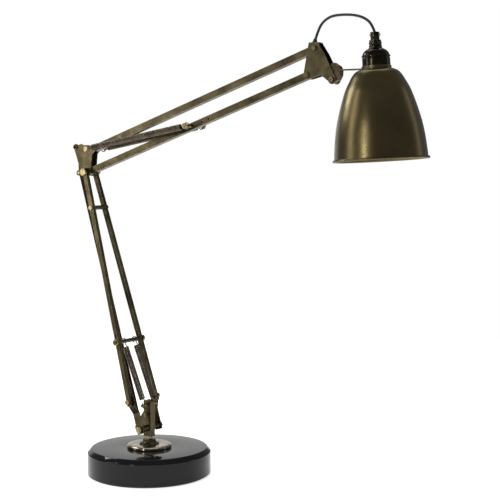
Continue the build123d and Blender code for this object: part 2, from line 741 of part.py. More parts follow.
# a small lever switch with a ball end, on a stub beside the cord grip
with BuildPart() as switch_lever:
    lever_mid = (LEVER_NEAR + LEVER_FAR) / 2
    with BuildSketch(PROFILE.offset(-LEVER_FAR)):
        with Locations(LEVER_HUB):
            Circle(2.6)
    extrude(amount=LEVER_FAR - LEVER_NEAR)
    hub = SHADE_AXIS.from_local_coords((LEVER_HUB[0], lever_mid, LEVER_HUB[1]))
    tip = SHADE_AXIS.from_local_coords((LEVER_TIP[0], lever_mid, LEVER_TIP[1]))
    with BuildSketch(Plane(origin=hub, z_dir=tip - hub)):
        Circle(0.9)
    extrude(amount=(tip - hub).length)
    with Locations(tip):
        Sphere(2.0)
    with BuildSketch(PROFILE):
        with Locations(LEVER_HUB):
            Circle(1.2 + FIT)
    extrude(amount=-2 * LEVER_NEAR, mode=Mode.SUBTRACT)
save(switch_lever, "switch_lever")

# the spun bell, with a rolled bead round its rim
with BuildPart() as shade:
    rim = SHADE_OUTLINE[-1]
    outside = [(THREAD_R, SHADE_TOP), (SHADE_SHOULDER, SHADE_TOP), *SHADE_OUTLINE]
    inside = [(r - SHADE_WALL, w - 0.35 * SHADE_WALL) for r, w in SHADE_OUTLINE[:-1]]
    inner_rim = (rim[0] - SHADE_WALL, rim[1])
    inner_top = [(SHADE_SHOULDER, SHADE_TOP - SHADE_WALL), (THREAD_R, SHADE_TOP - SHADE_WALL)]
    with BuildSketch(PROFILE):
        with BuildLine():
            Polyline(*outside, inner_rim, *reversed(inside), *inner_top, close=True)
        make_face()
        with Locations((rim[0] + 0.6, rim[1])):
            RegularPolygon(RIM_BEAD_R, 8)
    revolve(axis=TURN)
save(shade, "shade")

BULB_R = 27.0
BULB_CENTRE = -72.0
BULB_NECK_R = 13.0
BULB_WALL = 1.2
BULB_NECK_W = -27.1


def bulb_outline(inset):
    """Half outline of the bulb from its neck to its lowest point, moved in by inset."""
    radius = BULB_R - inset
    flank_end = (radius * sin(radians(62)), BULB_CENTRE + radius * cos(radians(62)))
    flank = Spline((BULB_NECK_R - inset, BULB_NECK_W), (15.0 - inset, -38.0), flank_end)
    low = (radius * cos(radians(20)), BULB_CENTRE - radius * sin(radians(20)))
    return flank, ThreePointArc(flank_end, low, (0, BULB_CENTRE - radius))


with BuildPart() as bulb_glass:
    with BuildSketch(PROFILE):
        with BuildLine():
            outer_flank, outer_end = bulb_outline(0)
            inner_flank, inner_end = bulb_outline(BULB_WALL)
            Line(outer_end @ 1, inner_end @ 1)
            Line(inner_flank @ 0, outer_flank @ 0)
        make_face()
    revolve(axis=TURN)
save(bulb_glass, "bulb_glass")


# ---------------------------------------------------------------- springs
def spring_pair(node, start, end, depth):
    """Close wound coils with a hook round the pin at start. end is the far pin."""
    direction = Vector(end[0] - start[0], 0, end[1] - start[1]).normalized()
    length = span(start, end)
    with BuildPart() as piece:
        for y in (-depth, depth):
            centre = Vector(start[0], y, start[1])
            with BuildSketch(Plane(origin=centre + direction * COIL_INSET, z_dir=direction)):
                Circle(SPRING_R)
            extrude(amount=length - 2 * COIL_INSET)
            with BuildSketch(Plane(origin=centre + direction * (COIL_INSET + 1.5), z_dir=direction)):
                Circle(SPRING_HOLE_R)
            extrude(amount=length - 2 * COIL_INSET - 3, mode=Mode.SUBTRACT)
            with BuildSketch(Plane(origin=centre + direction * LOOP_R, z_dir=direction)):
                Circle(WIRE_R)
            extrude(amount=COIL_INSET - LOOP_R)
            with Locations(Location(centre, (90, 0, 0))):
                Torus(LOOP_R, WIRE_R)
    save(piece, node)


def spring_tails(node, start, end, depth, loop):
    """The hooks at the other end of a pair of springs, round the pin at end."""
    direction = Vector(start[0] - end[0], 0, start[1] - end[1]).normalized()
    with BuildPart() as piece:
        for y in (-depth, depth):
            centre = Vector(end[0], y, end[1])
            with BuildSketch(Plane(origin=centre + direction * loop, z_dir=direction)):
                Circle(WIRE_R)
            extrude(amount=COIL_INSET - loop)
            with Locations(Location(centre, (90, 0, 0))):
                Torus(loop, WIRE_R)
    save(piece, node)


spring_pair("lower_springs", CROSS_ROD, POST_SPRING_PIN, LOWER_SPRING_Y)
spring_tails("lower_spring_tails", CROSS_ROD, POST_SPRING_PIN, LOWER_SPRING_Y, LOOP_R)
spring_pair("upper_springs", BAR_SPRING_PIN, UPPER_PIVOT, UPPER_SPRING_Y)
spring_tails("upper_spring_tails", BAR_SPRING_PIN, UPPER_PIVOT, UPPER_SPRING_Y, LOOP_R)

# ---------------------------------------------------------------- flexible cord
GRIP_FACE = SHADE_AXIS.offset(GRIP_TOP)
GRIP_END = SHADE_AXIS.from_local_coords((0, 0, GRIP_TOP - 0.7))
route = [Vector(x, 0, z) for x, z in FLEX_ROUTE] + [GRIP_END]
runs = [(b - a).length for a, b in zip(route, route[1:])]
turns = [(b - a).get_angle(c - b) for a, b, c in zip(route, route[1:], route[2:])]
radii = [0.45 * min(runs[i], runs[i + 1]) / tan(radians(turn) / 2) for i, turn in enumerate(turns)]
with BuildPart() as head_flex:
    with BuildLine() as path:
        FilletPolyline(*route, radius=radii)
    with BuildSketch(Plane(origin=route[0], z_dir=route[1] - route[0])):
        Circle(FLEX_R)
    sweep()
    split(bisect_by=GRIP_FACE, keep=Keep.TOP)
save(head_flex, "head_flex")
print("flex runs", [round(run, 1) for run in runs])
print("flex turns", [round(turn, 1) for turn in turns])
print("flex radii", [round(radius, 1) for radius in radii])
print("flex length", round(path.wires()[0].length, 1))
ideal = path.wires()[0].length * pi * FLEX_R**2
print("flex volume ratio", round(head_flex.part.volume / ideal, 4))
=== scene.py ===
import json
from math import cos, pi, radians, sin

import bmesh
import bpy
from mathutils import Matrix, Quaternion, Vector


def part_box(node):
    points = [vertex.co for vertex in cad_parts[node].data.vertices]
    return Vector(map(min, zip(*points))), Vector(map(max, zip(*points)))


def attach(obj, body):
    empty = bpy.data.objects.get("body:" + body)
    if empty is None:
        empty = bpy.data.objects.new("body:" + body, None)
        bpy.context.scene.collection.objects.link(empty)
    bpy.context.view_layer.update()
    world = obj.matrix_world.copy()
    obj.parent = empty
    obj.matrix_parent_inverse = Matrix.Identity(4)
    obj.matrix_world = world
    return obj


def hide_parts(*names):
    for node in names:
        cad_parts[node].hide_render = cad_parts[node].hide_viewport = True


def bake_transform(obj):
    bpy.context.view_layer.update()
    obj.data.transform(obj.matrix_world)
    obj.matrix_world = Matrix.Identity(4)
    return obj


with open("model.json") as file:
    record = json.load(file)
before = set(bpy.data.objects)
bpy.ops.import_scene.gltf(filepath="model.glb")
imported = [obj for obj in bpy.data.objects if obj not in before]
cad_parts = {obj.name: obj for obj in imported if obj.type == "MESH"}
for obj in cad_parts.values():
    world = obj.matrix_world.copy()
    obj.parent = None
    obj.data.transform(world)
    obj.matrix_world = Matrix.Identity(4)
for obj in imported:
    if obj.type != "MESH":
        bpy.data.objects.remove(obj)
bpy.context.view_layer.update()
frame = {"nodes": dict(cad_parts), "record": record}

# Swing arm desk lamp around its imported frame. Lengths are in metres; +Z is up, the arms lie in the
# XZ plane and reach towards +X. Outlines of turned pieces are in millimetres, as (radius, height).
MM = 0.001
RECORD = frame["record"]
CORD_RADIUS = 2.0 * MM
SHADE_SEAT = Vector((0.4175, 0.0, 0.646))
SHADE_LEAN = radians(3.8)
LOWER_SPRING_Y = 13.5 * MM
UPPER_SPRING_Y = 19.5 * MM


def middle(node):
    """The middle of a CAD node's box."""
    low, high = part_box(node)
    return (Vector(low) + Vector(high)) / 2


# ------------------------------------------------------------------ camera, floor and lights
def add_camera():
    camera = bpy.data.objects.new("camera", bpy.data.cameras.new("camera"))
    bpy.context.collection.objects.link(camera)
    camera.location = (1.3285, -1.6340, 0.5241)
    looks_along = Vector((-0.5519, 0.8320, -0.0563))
    level = looks_along.to_track_quat("-Z", "Y")
    camera.rotation_euler = (level @ Quaternion((0, 0, 1), 0.0023)).to_euler()
    camera.data.lens = 93.7
    camera.data.sensor_width = 36.0
    camera.data.shift_x = -0.05
    camera.data.shift_y = -0.05
    camera.data.clip_start = 0.05
    bpy.context.scene.camera = camera


def add_softbox(name, place, aim, width, height, power, colour=(1.0, 0.98, 0.95)):
    """An area light at place that faces aim."""
    lamp = bpy.data.lights.new(name, "AREA")
    lamp.shape = "RECTANGLE"
    lamp.size = width
    lamp.size_y = height
    lamp.energy = power
    lamp.color = colour
    light = bpy.data.objects.new(name, lamp)
    bpy.context.collection.objects.link(light)
    light.location = place
    light.rotation_euler = (Vector(aim) - Vector(place)).to_track_quat("-Z", "Y").to_euler()


def add_world():
    """A white surround for the camera and a dim one for reflections."""
    world = bpy.data.worlds.new("studio")
    bpy.context.scene.world = world
    world.use_nodes = True
    nodes = world.node_tree.nodes
    links = world.node_tree.links
    dim = nodes["Background"]
    dim.inputs["Color"].default_value = (0.95, 0.97, 1.0, 1.0)
    dim.inputs["Strength"].default_value = 0.22
    white = nodes.new("ShaderNodeBackground")
    white.inputs["Color"].default_value = (1.0, 1.0, 1.0, 1.0)
    white.inputs["Strength"].default_value = 1.0
    path = nodes.new("ShaderNodeLightPath")
    mix = nodes.new("ShaderNodeMixShader")
    links.new(path.outputs["Is Camera Ray"], mix.inputs["Fac"])
    links.new(dim.outputs["Background"], mix.inputs[1])
    links.new(white.outputs["Background"], mix.inputs[2])
    links.new(mix.outputs["Shader"], nodes["World Output"].inputs["Surface"])


def add_floor():
    """A pale round floor under the base."""
    mesh = bpy.data.meshes.new("floor")
    edge = [(1.7 * cos(2 * pi * i / 96), 1.7 * sin(2 * pi * i / 96), 0.0) for i in range(96)]
    mesh.from_pydata(edge, [], [list(range(96))])
    floor = bpy.data.objects.new("floor", mesh)
    bpy.context.collection.objects.link(floor)
    paint = bpy.data.materials.new("floor_paint")
    paint.use_nodes = True
    nodes = paint.node_tree.nodes
    shader = nodes["Principled BSDF"]
    shader.inputs["Base Color"].default_value = (0.93, 0.93, 0.93, 1.0)
    shader.inputs["Roughness"].default_value = 0.9
    shader.inputs["Emission Color"].default_value = (1.0, 1.0, 1.0, 1.0)
    shader.inputs["Emission Strength"].default_value = 0.75
    mesh.materials.append(paint)


add_camera()
add_world()
add_floor()
bpy.context.scene.view_settings.view_transform = "Standard"
add_softbox("key_left", (-1.10, -1.20, 1.05), (0.1, 0.0, 0.4), 0.35, 1.5, 8)
add_softbox("strip_shade", (0.16, -1.25, 0.72), (0.42, 0.0, 0.58), 0.05, 0.7, 4.5)
add_softbox("fill_right", (1.6, 1.3, 0.9), (0.3, 0.0, 0.4), 0.3, 1.4, 1.6)
add_softbox("bevel_left", (-1.0, -0.1, 1.2), (0.0, 0.0, 0.05), 0.45, 0.45, 6)
add_softbox("top", (-0.2, 0.5, 2.0), (0.1, 0.0, 0.0), 1.4, 1.0, 9)
add_softbox("rim_back", (-1.5, 1.5, 0.5), (0.1, 0.0, 0.3), 2.4, 1.0, 5)


# ------------------------------------------------------------------ mesh helpers
def link(name, mesh):
    thing = bpy.data.objects.new(name, mesh)
    bpy.context.collection.objects.link(thing)
    return thing


def crease(mesh, angle=32):
    """Smooth shading with sharp edges where two faces meet at more than angle degrees."""
    shape = bmesh.new()
    shape.from_mesh(mesh)
    bmesh.ops.recalc_face_normals(shape, faces=shape.faces)
    for face in shape.faces:
        face.smooth = True
    for edge in shape.edges:
        edge.smooth = len(edge.link_faces) == 2 and edge.calc_face_angle(0) < radians(angle)
    shape.to_mesh(mesh)
    shape.free()


def lathe(name, outline, frame_matrix, steps=96, closed=True, angle=32):
    """A turned piece: outline's (radius, height) points in millimetres, round frame_matrix's Z."""
    shape = bmesh.new()
    rings = []
    for radius, height in outline:
        if radius < 1e-4:
            rings.append([shape.verts.new((0, 0, height * MM))])
            continue
        ring = []
        for i in range(steps):
            turn = 2 * pi * i / steps
            ring.append(shape.verts.new((radius * MM * cos(turn), radius * MM * sin(turn), height * MM)))
        rings.append(ring)
    pairs = list(zip(rings, rings[1:]))
    if closed:
        pairs.append((rings[-1], rings[0]))
    for low, high in pairs:
        for i in range(steps):
            j = (i + 1) % steps
            corners = [low[i % len(low)], low[j % len(low)], high[j % len(high)], high[i % len(high)]]
            unique = list(dict.fromkeys(corners))
            if len(unique) > 2:
                shape.faces.new(unique)
    mesh = bpy.data.meshes.new(name)
    shape.to_mesh(mesh)
    shape.free()
    mesh.transform(frame_matrix)
    crease(mesh, angle)
    return link(name, mesh)


def round_corners(outline, radius, steps=4):
    """The closed outline with each corner replaced by a small arc, in millimetres."""
    rounded = []
    count = len(outline)
    for i, corner in enumerate(outline):
        here = Vector(corner)
        before = Vector(outline[i - 1]) - here
        after = Vector(outline[(i + 1) % count]) - here
        if corner[0] < 1e-4 or before.length < 1e-6 or after.length < 1e-6:
            rounded.append(tuple(here))
            continue
        reach = min(radius, 0.45 * before.length, 0.45 * after.length)
        start = here + before.normalized() * reach
        end = here + after.normalized() * reach
        for step in range(steps + 1):
            t = step / steps
            point = start * (1 - t) ** 2 + here * (2 * t * (1 - t)) + end * t**2
            rounded.append(tuple(point))
    return rounded


def smooth_line(points, steps=10):
    """A Catmull-Rom line through the points."""
    line = []
    ends = [2 * Vector(points[0]) - Vector(points[1])]
    padded = ends + [Vector(p) for p in points] + [2 * Vector(points[-1]) - Vector(points[-2])]
    for a, b, c, d in zip(padded, padded[1:], padded[2:], padded[3:]):
        for step in range(steps):
            t = step / steps
            square = (2 * a - 5 * b + 4 * c - d) * t**2
            cube = (3 * b - a - 3 * c + d) * t**3
            line.append(0.5 * (2 * b + (c - a) * t + square + cube))
    line.append(Vector(points[-1]))
    return line


def tube(name, path, radius, sides=8):
    """A round wire along a path of points, with its ends closed."""
    shape = bmesh.new()
    rings = []
    across = None
    for i, point in enumerate(path):
        ahead = (path[min(i + 1, len(path) - 1)] - path[max(i - 1, 0)]).normalized()
        if across is None:
            across = ahead.orthogonal().normalized()
        across = (across - ahead * across.dot(ahead)).normalized()
        other = ahead.cross(across)
        ring = []
        for side in range(sides):
            turn = 2 * pi * side / sides
            ring.append(shape.verts.new(point + (across * cos(turn) + other * sin(turn)) * radius))
        rings.append(ring)
    for low, high in zip(rings, rings[1:]):
        for side in range(sides):
            next_side = (side + 1) % sides
            shape.faces.new((low[side], low[next_side], high[next_side], high[side]))
    shape.faces.new(list(reversed(rings[0])))
    shape.faces.new(rings[-1])
    mesh = bpy.data.meshes.new(name)
    shape.to_mesh(mesh)
    shape.free()
    crease(mesh, 60)
    return link(name, mesh)


def shape_of(thing):
    """A mesh of the object as it stands, with its modifiers or bevel applied."""
    bpy.context.view_layer.update()
    return bpy.data.meshes.new_from_object(thing.evaluated_get(bpy.context.evaluated_depsgraph_get()))


def soften(node, width, angle=30):
    """A small rounded edge on a CAD node, so that its edges catch the light."""
    bevel = frame["nodes"][node].modifiers.new("edge_round", "BEVEL")
    bevel.width = width * MM
    bevel.segments = 2
    bevel.limit_method = "ANGLE"
    bevel.angle_limit = radians(angle)
    bevel.use_clamp_overlap = True
    bevel.harden_normals = False


# ------------------------------------------------------------------ flexible cord to the lampholder
def add_head_cord():
    """A cord from the head's top to the lampholder's grip, in place of the CAD flex."""
    grip_height = 48.5
    shade_axis = Vector((-sin(SHADE_LEAN), 0, cos(SHADE_LEAN)))
    grip_top = SHADE_SEAT + shade_axis * grip_height * MM
    route = [
        (0.3152, 0.0, 0.6890),
        (0.3194, 0.0, 0.7008),
        (0.3270, 0.0, 0.7130),
        (0.3415, 0.0, 0.7212),
        (0.3610, 0.0, 0.7223),
        (0.3810, 0.0, 0.7208),
        (0.3975, 0.0, 0.7158),
        (0.4095, 0.0, 0.7065),
        tuple(grip_top),
    ]
    curve = bpy.data.curves.new("head_cord", "CURVE")
    curve.dimensions = "3D"
    curve.bevel_depth = CORD_RADIUS
    curve.bevel_resolution = 5
    curve.use_fill_caps = True
    line = curve.splines.new("NURBS")
    line.points.add(len(route) - 1)
    for point, place in zip(line.points, route):
        point.co = (*place, 1.0)
    line.order_u = 3
    line.use_endpoint_u = True
    line.resolution_u = 16
    spine = link("head_cord_spine", curve)
    tube_mesh = shape_of(spine)
    curve.bevel_depth = 0.0
    centreline = [tuple(vertex.co) for vertex in shape_of(spine).vertices]
    bpy.data.objects.remove(spine)
    crease(tube_mesh, 60)
    cord = link("head_cord", tube_mesh)
    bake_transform(cord)
    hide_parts("head_flex")
    return cord


head_cord = add_head_cord()


# ------------------------------------------------------------------ materials
class Paint:
    """A material's node tree, with short calls for what these materials share."""

    def __init__(self, name):
        self.material = bpy.data.materials.new(name)
        self.material.use_nodes = True
        self.nodes = self.material.node_tree.nodes
        self.links = self.material.node_tree.links
        self.shader = self.nodes["Principled BSDF"]
        self.place = self.nodes.new("ShaderNodeTexCoord").outputs["Object"]

    def join(self, output, socket):
        self.links.new(output, socket)

    def noise(self, scale, detail=4.0, stretch=(1, 1, 1), roughness=0.6):
        """Noise of about 1/scale metres. stretch squeezes it along each axis."""
        mapping = self.nodes.new("ShaderNodeMapping")
        mapping.inputs["Scale"].default_value = stretch
        self.join(self.place, mapping.inputs["Vector"])
        noise = self.nodes.new("ShaderNodeTexNoise")
        noise.inputs["Scale"].default_value = scale
        noise.inputs["Detail"].default_value = detail
        noise.inputs["Roughness"].default_value = roughness
        self.join(mapping.outputs["Vector"], noise.inputs["Vector"])
        return noise.outputs["Fac"]

    def ramp(self, value, stops):
        """A colour for each value. stops are (position, colour) pairs."""
        ramp = self.nodes.new("ShaderNodeValToRGB")
        elements = ramp.color_ramp.elements
        while len(elements) < len(stops):
            elements.new(0.5)
        for element, (position, colour) in zip(elements, stops):
            element.position = position
            element.color = (*colour, 1.0)
        self.join(value, ramp.inputs["Fac"])
        return ramp.outputs["Color"]

    def mapped(self, value, low, high, from_low=0.3, from_high=0.7):
        """value's middle range turned into low to high."""
        node = self.nodes.new("ShaderNodeMapRange")
        node.inputs["From Min"].default_value = from_low
        node.inputs["From Max"].default_value = from_high
        node.inputs["To Min"].default_value = low
        node.inputs["To Max"].default_value = high
        self.join(value, node.inputs["Value"])
        return node.outputs["Result"]

    def mix(self, share, first, second):
        node = self.nodes.new("ShaderNodeMix")
        node.data_type = "RGBA"
        self.join(share, node.inputs["Factor"])
        for value, socket in ((first, node.inputs[6]), (second, node.inputs[7])):
            if isinstance(value, tuple):
                socket.default_value = (*value, 1.0)
            else:
                self.join(value, socket)
        return node.outputs[2]

    def edges(self, radius, gain=6.0):
        """1 along sharp edges and 0 on flat faces."""
        bevel = self.nodes.new("ShaderNodeBevel")
        bevel.samples = 4
        bevel.inputs["Radius"].default_value = radius * MM
        geometry = self.nodes.new("ShaderNodeNewGeometry")
        dot = self.nodes.new("ShaderNodeVectorMath")
        dot.operation = "DOT_PRODUCT"
        self.join(bevel.outputs["Normal"], dot.inputs[0])
        self.join(geometry.outputs["Normal"], dot.inputs[1])
        return self.mapped(dot.outputs["Value"], 1.0, 0.0, 1.0 - 1.0 / gain, 0.995)

    def bump(self, height, strength, distance):
        node = self.nodes.new("ShaderNodeBump")
        node.inputs["Strength"].default_value = strength
        node.inputs["Distance"].default_value = distance * MM
        self.join(height, node.inputs["Height"])
        self.join(node.outputs["Normal"], self.shader.inputs["Normal"])


def metal_paint(name, shades, worn, roughness, patch=28.0, grain=(1, 1, 14), wear=0.5, fleck=0.35):
    """Aged metal: patches between three shades, fine grain, and paler worn edges."""
    paint = Paint(name)
    patches = paint.ramp(paint.noise(patch, 6.0), list(zip((0.32, 0.52, 0.72), shades)))
    grain_noise = paint.noise(420.0, 3.0, grain)
    specks = paint.mapped(grain_noise, 0.0, fleck, 0.45, 0.8)
    body = paint.mix(specks, patches, shades[0])
    rub = paint.nodes.new("ShaderNodeMath")
    rub.operation = "MULTIPLY"
    paint.join(paint.edges(0.7), rub.inputs[0])
    paint.join(paint.mapped(paint.noise(160.0, 2.0), 0.0, wear * 2, 0.35, 0.65), rub.inputs[1])
    paint.join(paint.mix(rub.outputs[0], body, worn), paint.shader.inputs["Base Color"])
    paint.join(paint.mapped(paint.noise(70.0, 5.0), *roughness), paint.shader.inputs["Roughness"])
    paint.shader.inputs["Metallic"].default_value = 1.0
    paint.bump(grain_noise, 0.06, 0.02)
    return paint.material


def marble_paint():
    paint = Paint("black_marble")
    cloud = paint.noise(9.0, 8.0, roughness=0.7)
    veins = paint.ramp(cloud, [(0.3, (0.004, 0.004, 0.005)), (0.7, (0.009, 0.009, 0.010))])
    specks = paint.mapped(paint.noise(900.0, 2.0), 0.0, 0.3, 0.66, 0.8)
    paint.join(paint.mix(specks, veins, (0.03, 0.03, 0.033)), paint.shader.inputs["Base Color"])
    paint.join(paint.mapped(paint.noise(40.0, 4.0), 0.05, 0.11), paint.shader.inputs["Roughness"])
    paint.shader.inputs["IOR"].default_value = 1.30
    paint.bump(paint.noise(60.0, 3.0), 0.03, 0.05)
    return paint.material


def felt_paint():
    paint = Paint("green_black_felt")
    fibres = paint.noise(1400.0, 6.0, roughness=0.8)
    colour = paint.ramp(fibres, [(0.3, (0.012, 0.014, 0.012)), (0.7, (0.05, 0.055, 0.05))])
    paint.join(colour, paint.shader.inputs["Base Color"])
    paint.join(paint.mapped(fibres, 0.85, 1.0), paint.shader.inputs["Roughness"])
    paint.shader.inputs["Sheen Weight"].default_value = 0.4
    paint.bump(fibres, 0.6, 0.3)
    return paint.material


def soft_paint(name, dark, light, roughness, scale=900.0, bump=0.2):
    """Rubber, woven flex or ceramic: a fine mottled surface."""
    paint = Paint(name)
    mottle = paint.noise(scale, 4.0)
    paint.join(paint.ramp(mottle, [(0.3, dark), (0.7, light)]), paint.shader.inputs["Base Color"])
    paint.join(paint.mapped(paint.noise(120.0, 3.0), *roughness), paint.shader.inputs["Roughness"])
    paint.bump(mottle, bump, 0.1)
    return paint.material


def glass_paint():
    paint = Paint("frosted_glass")
    frost = paint.noise(1500.0, 3.0)
    colour = paint.ramp(frost, [(0.3, (0.86, 0.84, 0.78)), (0.7, (0.95, 0.94, 0.90))])
    paint.join(colour, paint.shader.inputs["Base Color"])
    paint.join(paint.mapped(paint.noise(50.0, 3.0), 0.30, 0.42), paint.shader.inputs["Roughness"])
    paint.shader.inputs["Transmission Weight"].default_value = 0.55
    paint.shader.inputs["IOR"].default_value = 1.45
    paint.bump(frost, 0.08, 0.05)
    return paint.material


AGED = [(0.040, 0.033, 0.018), (0.085, 0.070, 0.038), (0.140, 0.115, 0.062)]
PAINTS = {
    "aged_brass": metal_paint("aged_brass", AGED, (0.62, 0.50, 0.29), (0.26, 0.44)),
    "shade_brass": metal_paint(
        "shade_brass",
        [(0.090, 0.070, 0.032), (0.120, 0.095, 0.046), (0.155, 0.126, 0.064)],
        (0.70, 0.58, 0.34),
        (0.27, 0.33),
        patch=9.0,
        grain=(3, 3, 30),
        fleck=0.08,
    ),
    "bright_brass": metal_paint(
        "bright_brass",
        [(0.15, 0.115, 0.055), (0.29, 0.23, 0.12), (0.40, 0.33, 0.19)],
        (0.75, 0.64, 0.42),
        (0.18, 0.32),
        patch=90.0,
    ),
    # painted shade: a darker copy of the aged brass for the parallel link behind the legs
    "shaded_link_brass": metal_paint(
        "shaded_link_brass",
        [(0.010, 0.008, 0.005), (0.020, 0.016, 0.009), (0.036, 0.029, 0.016)],
        (0.30, 0.24, 0.14),
        (0.30, 0.44),
        patch=60.0,
    ),
    # painted highlight: a paler copy of the aged brass for the brass disc on the base
    "lit_disc_brass": metal_paint(
        "lit_disc_brass",
        [(0.17, 0.14, 0.09), (0.32, 0.28, 0.21), (0.50, 0.46, 0.38)],
        (0.80, 0.74, 0.62),
        (0.14, 0.26),
        patch=50.0,
    ),
    "plain_steel": metal_paint(
        "plain_steel",
        [(0.30, 0.29, 0.27), (0.42, 0.41, 0.39), (0.50, 0.49, 0.47)],
        (0.65, 0.64, 0.62),
        (0.25, 0.4),
        patch=60.0,
    ),
    "bush_bronze": metal_paint(
        "bush_bronze",
        [(0.14, 0.09, 0.045), (0.22, 0.15, 0.08), (0.30, 0.21, 0.11)],
        (0.5, 0.38, 0.22),
        (0.3, 0.45),
        patch=60.0,
    ),
    "spring_metal": metal_paint(
        "spring_metal",
        [(0.060, 0.048, 0.034), (0.115, 0.095, 0.068), (0.175, 0.148, 0.108)],
        (0.40, 0.34, 0.25),
        (0.24, 0.38),
        patch=55.0,
    ),
    "holder_bronze": metal_paint(
        "holder_bronze",
        [(0.018, 0.015, 0.011), (0.030, 0.025, 0.018), (0.048, 0.040, 0.028)],
        (0.20, 0.16, 0.10),
        (0.14, 0.24),
        patch=60.0,
        wear=0.35,
    ),
    "bulb_metal": metal_paint(
        "bulb_metal",
        [(0.50, 0.50, 0.50), (0.60, 0.60, 0.60), (0.68, 0.68, 0.68)],
        (0.8, 0.8, 0.8),
        (0.2, 0.35),
        patch=90.0,
    ),
    "black_marble": marble_paint(),
    "felt": felt_paint(),
    "flex_black": soft_paint(
        "flex_black", (0.004, 0.004, 0.004), (0.008, 0.008, 0.007), (0.4, 0.5), 1600.0, 0.03
    ),
    "grommet_rubber": soft_paint("grommet_rubber", (0.012, 0.012, 0.012), (0.03, 0.03, 0.03), (0.5, 0.7)),
    "insulator": soft_paint("insulator", (0.62, 0.60, 0.55), (0.76, 0.74, 0.69), (0.4, 0.6), 300.0),
    "bulb_glass": glass_paint(),
}

for entry in RECORD["subparts"]:
    node = frame["nodes"][entry["node"]]
    node.data.materials.clear()
    node.data.materials.append(PAINTS[entry["material_slot"]])


# the parallel link wears a darker copy of the aged brass: painted shade, where it lies in the shade behind
# the legs
LINK_MATERIALS = frame["nodes"]["parallel_link"].data.materials
LINK_MATERIALS.clear()
LINK_MATERIALS.append(PAINTS["shaded_link_brass"])


def finish_piece(piece, body, slot, *nodes):
    """The piece gets the slot's material, rides on body and stands for the CAD nodes."""
    if not piece.data.materials:
        piece.data.materials.append(PAINTS[slot])
    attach(piece, body)
    if nodes:
        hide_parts(*nodes)


head_cord.data.materials.append(PAINTS["flex_black"])

# ------------------------------------------------------------------ rounded edges on CAD pieces
PLATES = ["head_plate_near", "head_plate_far", "elbow_plate_near", "elbow_plate_far", "head_bridge"]
BARS = ["leg_near", "leg_far", "lower_bar", "upper_bar", "parallel_link", "post", "shade_stem"]
STRAPS = ["foot_strap_near", "foot_strap_far", "link_cheeks"]
NUTS = ["arm_pivot_nuts", "cross_rod_nuts", "foot_bolts", "head_bolts", "upper_pivot_pin", "bar_spring_pin"]
for node in PLATES + STRAPS:
    soften(node, 0.35)
for node in BARS + ["knuckle"]:
    soften(node, 0.6)
for node in NUTS + ["post_screws", "leg_spacer_bolt", "elbow_screw", "cord_grip"]:
    soften(node, 0.5)


# ------------------------------------------------------------------ base
UPRIGHT = Matrix.Identity(4)
BUSH_BORE_R = 7.6
SPINDLE_BORE_R = 5.3
INLET_BORE_R = 5.02


def add_base():
    """The marble with its inlet hole, the brass disc on it and the flared collar round the spindle."""
    low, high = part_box("base_marble")
    radius, bottom, top = high[0] / MM, low[2] / MM, high[2] / MM
    bevel, foot_edge = 6.5, 1.0
    cavity_r, cavity_top = 28.0, 18.0
    outline = [
        (BUSH_BORE_R, top),
        (BUSH_BORE_R, cavity_top),
        (cavity_r, cavity_top),
        (cavity_r, bottom),
        (radius - foot_edge, bottom),
        (radius, bottom + foot_edge),
        (radius, top - bevel),
        (radius - bevel, top),
    ]
    marble = lathe("marble_base", round_corners(outline, 0.9, 3), UPRIGHT, steps=224, angle=28)
    rim_point = Matrix.Translation((-radius * MM, 0, middle("inlet_bush").z))
    drill_axis = rim_point @ Matrix.Rotation(pi / 2, 4, "Y")
    drill_shape = [(0, -10), (INLET_BORE_R, -10), (INLET_BORE_R, 80), (0, 80)]
    drill = lathe("inlet_drill", drill_shape, drill_axis, steps=48)
    cut = marble.modifiers.new("inlet", "BOOLEAN")
    cut.object = drill
    cut.solver = "EXACT"
    drilled = shape_of(marble)
    marble.modifiers.clear()
    marble.data = drilled
    bpy.data.objects.remove(drill)
    crease(marble.data, 28)
    finish_piece(marble, "base", "black_marble", "base_marble")

    low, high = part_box("base_disc")
    rim, bottom, top = high[0] / MM, low[2] / MM, high[2] / MM
    outline = [
        (BUSH_BORE_R, bottom),
        (rim, bottom),
        (rim, top - 1.6),
        (rim - 2.2, top),
        (BUSH_BORE_R, top),
    ]
    disc = lathe("brass_disc", round_corners(outline, 0.8, 4), UPRIGHT, steps=160)
    # the disc wears a paler copy of the aged brass: painted highlight
    disc.data.materials.append(PAINTS["lit_disc_brass"])
    finish_piece(disc, "base", "aged_brass", "base_disc")

    low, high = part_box("swivel_collar")
    foot, bottom, top = high[0] / MM, low[2] / MM, high[2] / MM
    flare = [(foot, bottom + 1.2), (12.2, bottom + 3.0), (10.4, bottom + 5.2), (10.2, top - 1)]
    outline = [(SPINDLE_BORE_R, bottom), (foot, bottom)]
    outline += [tuple(p) for p in smooth_line(flare, 6)]
    outline += [(9.6, top), (SPINDLE_BORE_R, top)]
    collar = lathe("swivel_flare", outline, UPRIGHT, steps=96)
    finish_piece(collar, "base", "aged_brass", "swivel_collar")


add_base()


# ------------------------------------------------------------------ balance springs
WIRE_R = 0.8 * MM
COIL_R = 5.1 * MM
COIL_INSET = 9.5 * MM
HOOK_R = 4.9 * MM


